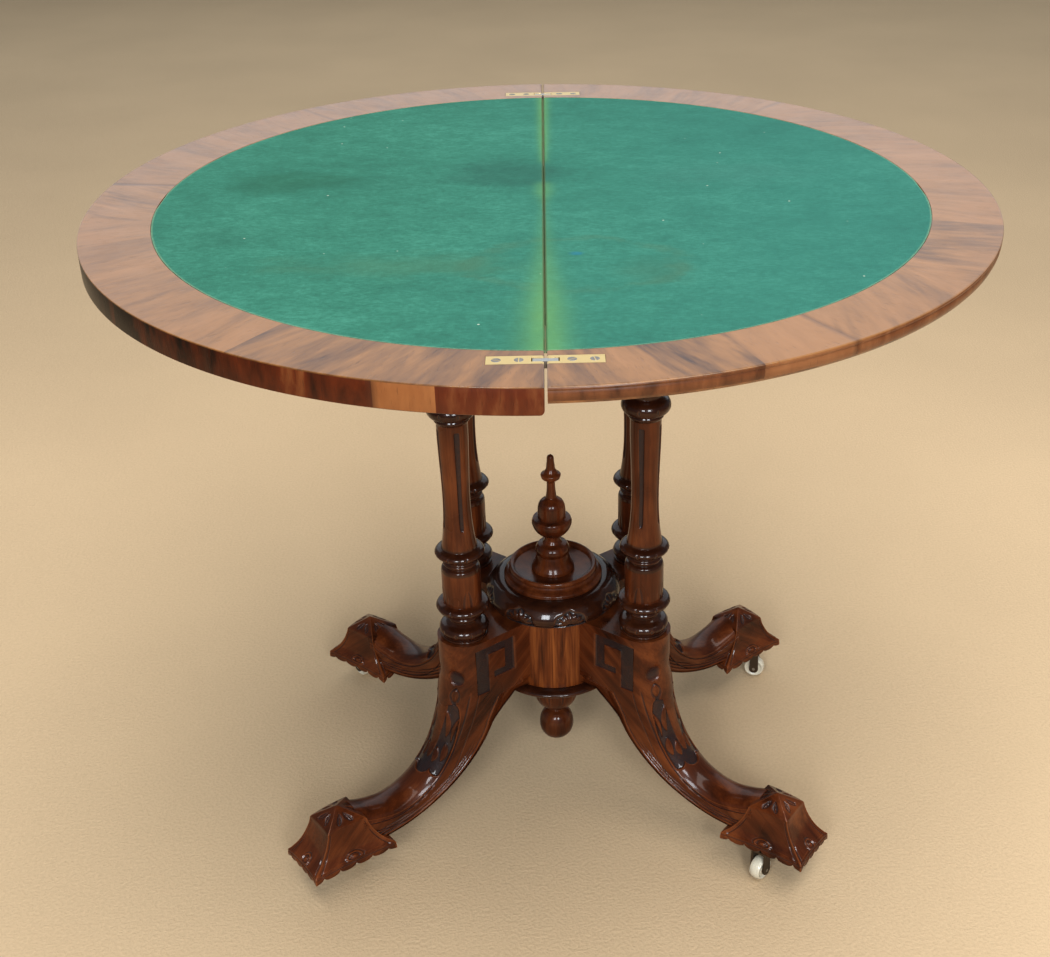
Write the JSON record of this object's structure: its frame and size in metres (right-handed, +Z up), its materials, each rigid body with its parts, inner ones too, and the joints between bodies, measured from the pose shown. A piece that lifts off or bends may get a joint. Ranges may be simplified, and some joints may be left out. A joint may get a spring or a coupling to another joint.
{
  "type": "card table",
  "caption": "Round fold-over card table with a green baize top that swivels and folds in half, on turned columns, a carved splayed-leg base and ceramic castors.",
  "frame": {"origin": "on the floor under the centre of the open round top", "axes": "+Z up; the fold line of the top runs along Y; the lower leaf is on the -X side and the folding leaf on the +X side; the front faces -Y"},
  "size_m": [0.9, 0.8998, 0.738],
  "materials": {
    "dark_walnut": "dark red-brown polished walnut, blackened in the carving",
    "drum_walnut": "orange-brown polished walnut with dark stripes",
    "figured_walnut": "figured walnut veneer, crossbanded, with an old polish",
    "pine": "bare old pine",
    "green_baize": "worn green woollen baize",
    "brass": "worn brass",
    "castor_brass": "dark old brass",
    "steel": "dull grey steel",
    "iron": "dark iron",
    "castor_iron": "dark iron with a little rust",
    "castor_ceramic": "white glaze"
  },
  "bodies": {
    "base": {"frame_rail_front": "pine", "frame_rail_back": "pine", "frame_rail_left": "pine", "frame_rail_right": "pine", "frame_platform": "dark_walnut", "pivot_block": "pine", "column_front_left": "dark_walnut", "column_front_right": "dark_walnut", "column_back_left": "dark_walnut", "column_back_right": "dark_walnut", "leg_front_left": "dark_walnut", "leg_front_right": "dark_walnut", "leg_back_left": "dark_walnut", "leg_back_right": "dark_walnut", "drum": "drum_walnut", "drum_base_ring": "dark_walnut", "carved_ring": "dark_walnut", "lid": "dark_walnut", "finial": "dark_walnut", "drop": "dark_walnut", "castor_front_left_plate": "castor_brass", "castor_front_right_plate": "castor_brass", "castor_back_left_plate": "castor_brass", "castor_back_right_plate": "castor_brass"},
    "lower_leaf": {"lower_leaf_board": "figured_walnut", "lower_leaf_rim": "figured_walnut", "lower_leaf_baize": "green_baize", "pivot_bolt": "iron", "pivot_washer": "iron", "pivot_nut": "iron", "stop_block": "pine", "hinge_front_lower_plate": "brass", "hinge_front_lower_pin": "steel", "hinge_back_lower_plate": "brass", "hinge_back_lower_pin": "steel"},
    "hinge_links": {"hinge_front_link": "steel", "hinge_back_link": "steel"},
    "upper_leaf": {"upper_leaf_board": "figured_walnut", "upper_leaf_baize": "green_baize", "hinge_front_upper_plate": "brass", "hinge_front_upper_pin": "steel", "hinge_back_upper_plate": "brass", "hinge_back_upper_pin": "steel"},
    "castor_front_left": {"castor_front_left_fork": "castor_iron", "castor_front_left_axle": "steel"},
    "castor_front_left_roller": {"castor_front_left_wheel": "castor_ceramic"},
    "castor_front_right": {"castor_front_right_fork": "castor_iron", "castor_front_right_axle": "steel"},
    "castor_front_right_roller": {"castor_front_right_wheel": "castor_ceramic"},
    "castor_back_left": {"castor_back_left_fork": "castor_iron", "castor_back_left_axle": "steel"},
    "castor_back_left_roller": {"castor_back_left_wheel": "castor_ceramic"},
    "castor_back_right": {"castor_back_right_fork": "castor_iron", "castor_back_right_axle": "steel"},
    "castor_back_right_roller": {"castor_back_right_wheel": "castor_ceramic"}
  },
  "joints": [
    {"name": "top_swivel", "type": "hinge", "parent": "base", "child": "lower_leaf", "pos_m": [-0.11249, 0.11249, 0.722], "axis": [0, 0, 1], "range_deg": [0, 90]},
    {"name": "link_fold", "type": "hinge", "parent": "lower_leaf", "child": "hinge_links", "pos_m": [-0.0035, 0, 0.7347], "axis": [0, -1, 0], "range_deg": [0, 90]},
    {"name": "leaf_fold", "type": "hinge", "parent": "hinge_links", "child": "upper_leaf", "pos_m": [0.0035, 0, 0.7347], "axis": [0, -1, 0], "range_deg": [0, 90]},
    {"name": "castor_front_left_swivel", "type": "hinge", "parent": "base", "child": "castor_front_left", "pos_m": [-0.24486, -0.18318, 0.0377], "axis": [0, 0, 1], "continuous": true},
    {"name": "castor_front_left_roll", "type": "hinge", "parent": "castor_front_left", "child": "castor_front_left_roller", "pos_m": [-0.23266, -0.16023, 0.0138], "axis": [0.8829, -0.4695, 0], "continuous": true},
    {"name": "castor_front_right_swivel", "type": "hinge", "parent": "base", "child": "castor_front_right", "pos_m": [0.24486, -0.18318, 0.0377], "axis": [0, 0, 1], "continuous": true},
    {"name": "castor_front_right_roll", "type": "hinge", "parent": "castor_front_right", "child": "castor_front_right_roller", "pos_m": [0.22713, -0.2022, 0.0138], "axis": [-0.7314, 0.682, 0], "continuous": true},
    {"name": "castor_back_left_swivel", "type": "hinge", "parent": "base", "child": "castor_back_left", "pos_m": [-0.24486, 0.18318, 0.0377], "axis": [0, 0, 1], "continuous": true},
    {"name": "castor_back_left_roll", "type": "hinge", "parent": "castor_back_left", "child": "castor_back_left_roller", "pos_m": [-0.26325, 0.20157, 0.0138], "axis": [0.7071, 0.7071, 0], "continuous": true},
    {"name": "castor_back_right_swivel", "type": "hinge", "parent": "base", "child": "castor_back_right", "pos_m": [0.24486, 0.18318, 0.0377], "axis": [0, 0, 1], "continuous": true},
    {"name": "castor_back_right_roll", "type": "hinge", "parent": "castor_back_right", "child": "castor_back_right_roller", "pos_m": [0.27009, 0.17689, 0.0138], "axis": [-0.2419, -0.9703, 0], "continuous": true}
  ]
}
